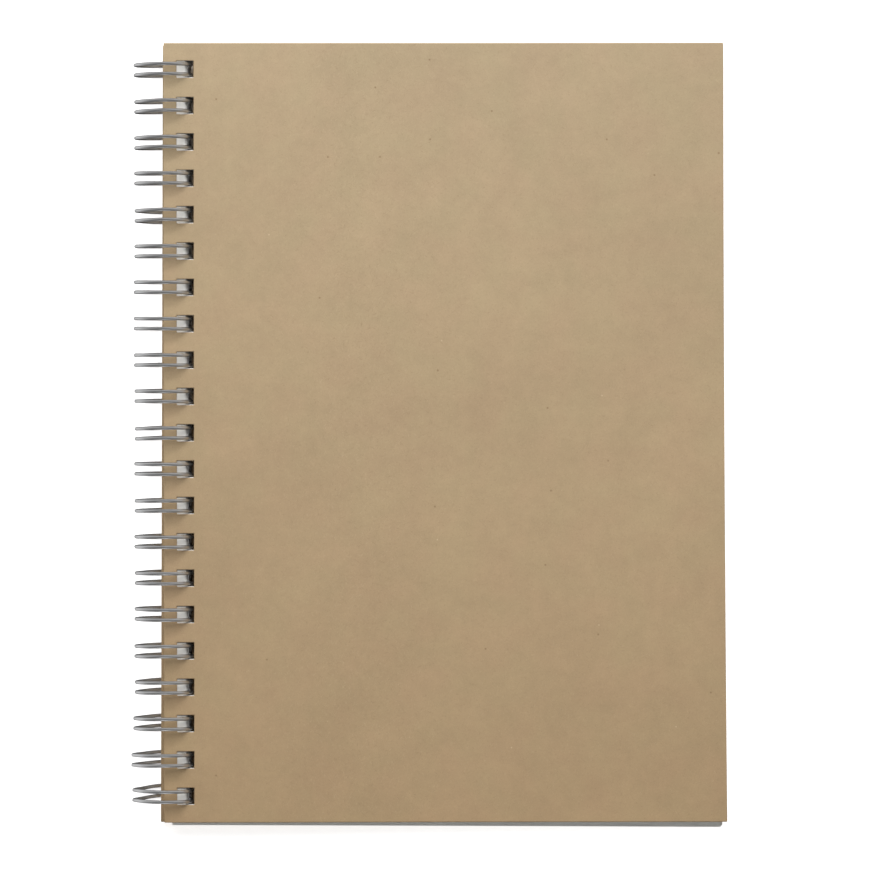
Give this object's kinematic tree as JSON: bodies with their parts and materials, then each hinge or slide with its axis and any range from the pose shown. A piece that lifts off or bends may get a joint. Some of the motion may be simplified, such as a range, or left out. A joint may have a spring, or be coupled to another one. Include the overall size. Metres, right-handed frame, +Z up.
{
  "type": "sketchbook",
  "caption": "Small portrait sketchbook with plain kraft board covers, white drawing sheets and a twin-loop wire binding on the left edge.",
  "frame": {"origin": "bottom centre of the closed book lying on its back cover; Z = 0 is the lowest point of the binding rings", "axes": "+Z up through the closed book towards the front cover, +Y along the spine towards the head, +X from the spine to the fore edge"},
  "size_m": [0.1378, 0.1826, 0.0138],
  "materials": {
    "wire": "satin",
    "front_board": "matte kraft board",
    "paper": "matte drawing paper",
    "back_board": "matte kraft board"
  },
  "bodies": {
    "binding_wire": {"binding_wire": "wire"},
    "front_cover": {"front_cover": "front_board"},
    "sheet_01": {"sheet_01": "paper"},
    "sheet_02": {"sheet_02": "paper"},
    "sheet_03": {"sheet_03": "paper"},
    "sheet_04": {"sheet_04": "paper"},
    "sheet_05": {"sheet_05": "paper"},
    "sheet_06": {"sheet_06": "paper"},
    "sheet_07": {"sheet_07": "paper"},
    "sheet_08": {"sheet_08": "paper"},
    "sheet_09": {"sheet_09": "paper"},
    "sheet_10": {"sheet_10": "paper"},
    "sheet_11": {"sheet_11": "paper"},
    "sheet_12": {"sheet_12": "paper"},
    "sheet_13": {"sheet_13": "paper"},
    "sheet_14": {"sheet_14": "paper"},
    "sheet_15": {"sheet_15": "paper"},
    "sheet_16": {"sheet_16": "paper"},
    "sheet_17": {"sheet_17": "paper"},
    "sheet_18": {"sheet_18": "paper"},
    "sheet_19": {"sheet_19": "paper"},
    "sheet_20": {"sheet_20": "paper"},
    "sheet_21": {"sheet_21": "paper"},
    "sheet_22": {"sheet_22": "paper"},
    "sheet_23": {"sheet_23": "paper"},
    "sheet_24": {"sheet_24": "paper"},
    "back_cover": {"back_cover": "back_board"}
  },
  "joints": [
    {"name": "back_cover_turn", "type": "hinge", "parent": "binding_wire", "child": "back_cover", "pos_m": [-0.06203, 0, 0.0069], "axis": [0, 1, 0], "range_deg": [0, 180]},
    {"name": "sheet_24_turn", "type": "hinge", "parent": "binding_wire", "child": "sheet_24", "pos_m": [-0.06203, 0, 0.0069], "axis": [0, -1, 0], "range_deg": [0, 180]},
    {"name": "sheet_23_turn", "type": "hinge", "parent": "sheet_24", "child": "sheet_23", "pos_m": [-0.06203, 0, 0.0069], "axis": [0, -1, 0], "range_deg": [0, 180]},
    {"name": "sheet_22_turn", "type": "hinge", "parent": "sheet_23", "child": "sheet_22", "pos_m": [-0.06203, 0, 0.0069], "axis": [0, -1, 0], "range_deg": [0, 180]},
    {"name": "sheet_21_turn", "type": "hinge", "parent": "sheet_22", "child": "sheet_21", "pos_m": [-0.06203, 0, 0.0069], "axis": [0, -1, 0], "range_deg": [0, 180]},
    {"name": "sheet_20_turn", "type": "hinge", "parent": "sheet_21", "child": "sheet_20", "pos_m": [-0.06203, 0, 0.0069], "axis": [0, -1, 0], "range_deg": [0, 180]},
    {"name": "sheet_19_turn", "type": "hinge", "parent": "sheet_20", "child": "sheet_19", "pos_m": [-0.06203, 0, 0.0069], "axis": [0, -1, 0], "range_deg": [0, 180]},
    {"name": "sheet_18_turn", "type": "hinge", "parent": "sheet_19", "child": "sheet_18", "pos_m": [-0.06203, 0, 0.0069], "axis": [0, -1, 0], "range_deg": [0, 180]},
    {"name": "sheet_17_turn", "type": "hinge", "parent": "sheet_18", "child": "sheet_17", "pos_m": [-0.06203, 0, 0.0069], "axis": [0, -1, 0], "range_deg": [0, 180]},
    {"name": "sheet_16_turn", "type": "hinge", "parent": "sheet_17", "child": "sheet_16", "pos_m": [-0.06203, 0, 0.0069], "axis": [0, -1, 0], "range_deg": [0, 180]},
    {"name": "sheet_15_turn", "type": "hinge", "parent": "sheet_16", "child": "sheet_15", "pos_m": [-0.06203, 0, 0.0069], "axis": [0, -1, 0], "range_deg": [0, 180]},
    {"name": "sheet_14_turn", "type": "hinge", "parent": "sheet_15", "child": "sheet_14", "pos_m": [-0.06203, 0, 0.0069], "axis": [0, -1, 0], "range_deg": [0, 180]},
    {"name": "sheet_13_turn", "type": "hinge", "parent": "sheet_14", "child": "sheet_13", "pos_m": [-0.06203, 0, 0.0069], "axis": [0, -1, 0], "range_deg": [0, 180]},
    {"name": "sheet_12_turn", "type": "hinge", "parent": "sheet_13", "child": "sheet_12", "pos_m": [-0.06203, 0, 0.0069], "axis": [0, -1, 0], "range_deg": [0, 180]},
    {"name": "sheet_11_turn", "type": "hinge", "parent": "sheet_12", "child": "sheet_11", "pos_m": [-0.06203, 0, 0.0069], "axis": [0, -1, 0], "range_deg": [0, 180]},
    {"name": "sheet_10_turn", "type": "hinge", "parent": "sheet_11", "child": "sheet_10", "pos_m": [-0.06203, 0, 0.0069], "axis": [0, -1, 0], "range_deg": [0, 180]},
    {"name": "sheet_09_turn", "type": "hinge", "parent": "sheet_10", "child": "sheet_09", "pos_m": [-0.06203, 0, 0.0069], "axis": [0, -1, 0], "range_deg": [0, 180]},
    {"name": "sheet_08_turn", "type": "hinge", "parent": "sheet_09", "child": "sheet_08", "pos_m": [-0.06203, 0, 0.0069], "axis": [0, -1, 0], "range_deg": [0, 180]},
    {"name": "sheet_07_turn", "type": "hinge", "parent": "sheet_08", "child": "sheet_07", "pos_m": [-0.06203, 0, 0.0069], "axis": [0, -1, 0], "range_deg": [0, 180]},
    {"name": "sheet_06_turn", "type": "hinge", "parent": "sheet_07", "child": "sheet_06", "pos_m": [-0.06203, 0, 0.0069], "axis": [0, -1, 0], "range_deg": [0, 180]},
    {"name": "sheet_05_turn", "type": "hinge", "parent": "sheet_06", "child": "sheet_05", "pos_m": [-0.06203, 0, 0.0069], "axis": [0, -1, 0], "range_deg": [0, 180]},
    {"name": "sheet_04_turn", "type": "hinge", "parent": "sheet_05", "child": "sheet_04", "pos_m": [-0.06203, 0, 0.0069], "axis": [0, -1, 0], "range_deg": [0, 180]},
    {"name": "sheet_03_turn", "type": "hinge", "parent": "sheet_04", "child": "sheet_03", "pos_m": [-0.06203, 0, 0.0069], "axis": [0, -1, 0], "range_deg": [0, 180]},
    {"name": "sheet_02_turn", "type": "hinge", "parent": "sheet_03", "child": "sheet_02", "pos_m": [-0.06203, 0, 0.0069], "axis": [0, -1, 0], "range_deg": [0, 180]},
    {"name": "sheet_01_turn", "type": "hinge", "parent": "sheet_02", "child": "sheet_01", "pos_m": [-0.06203, 0, 0.0069], "axis": [0, -1, 0], "range_deg": [0, 180]},
    {"name": "front_cover_turn", "type": "hinge", "parent": "sheet_01", "child": "front_cover", "pos_m": [-0.06203, 0, 0.0069], "axis": [0, -1, 0], "range_deg": [0, 180]}
  ]
}
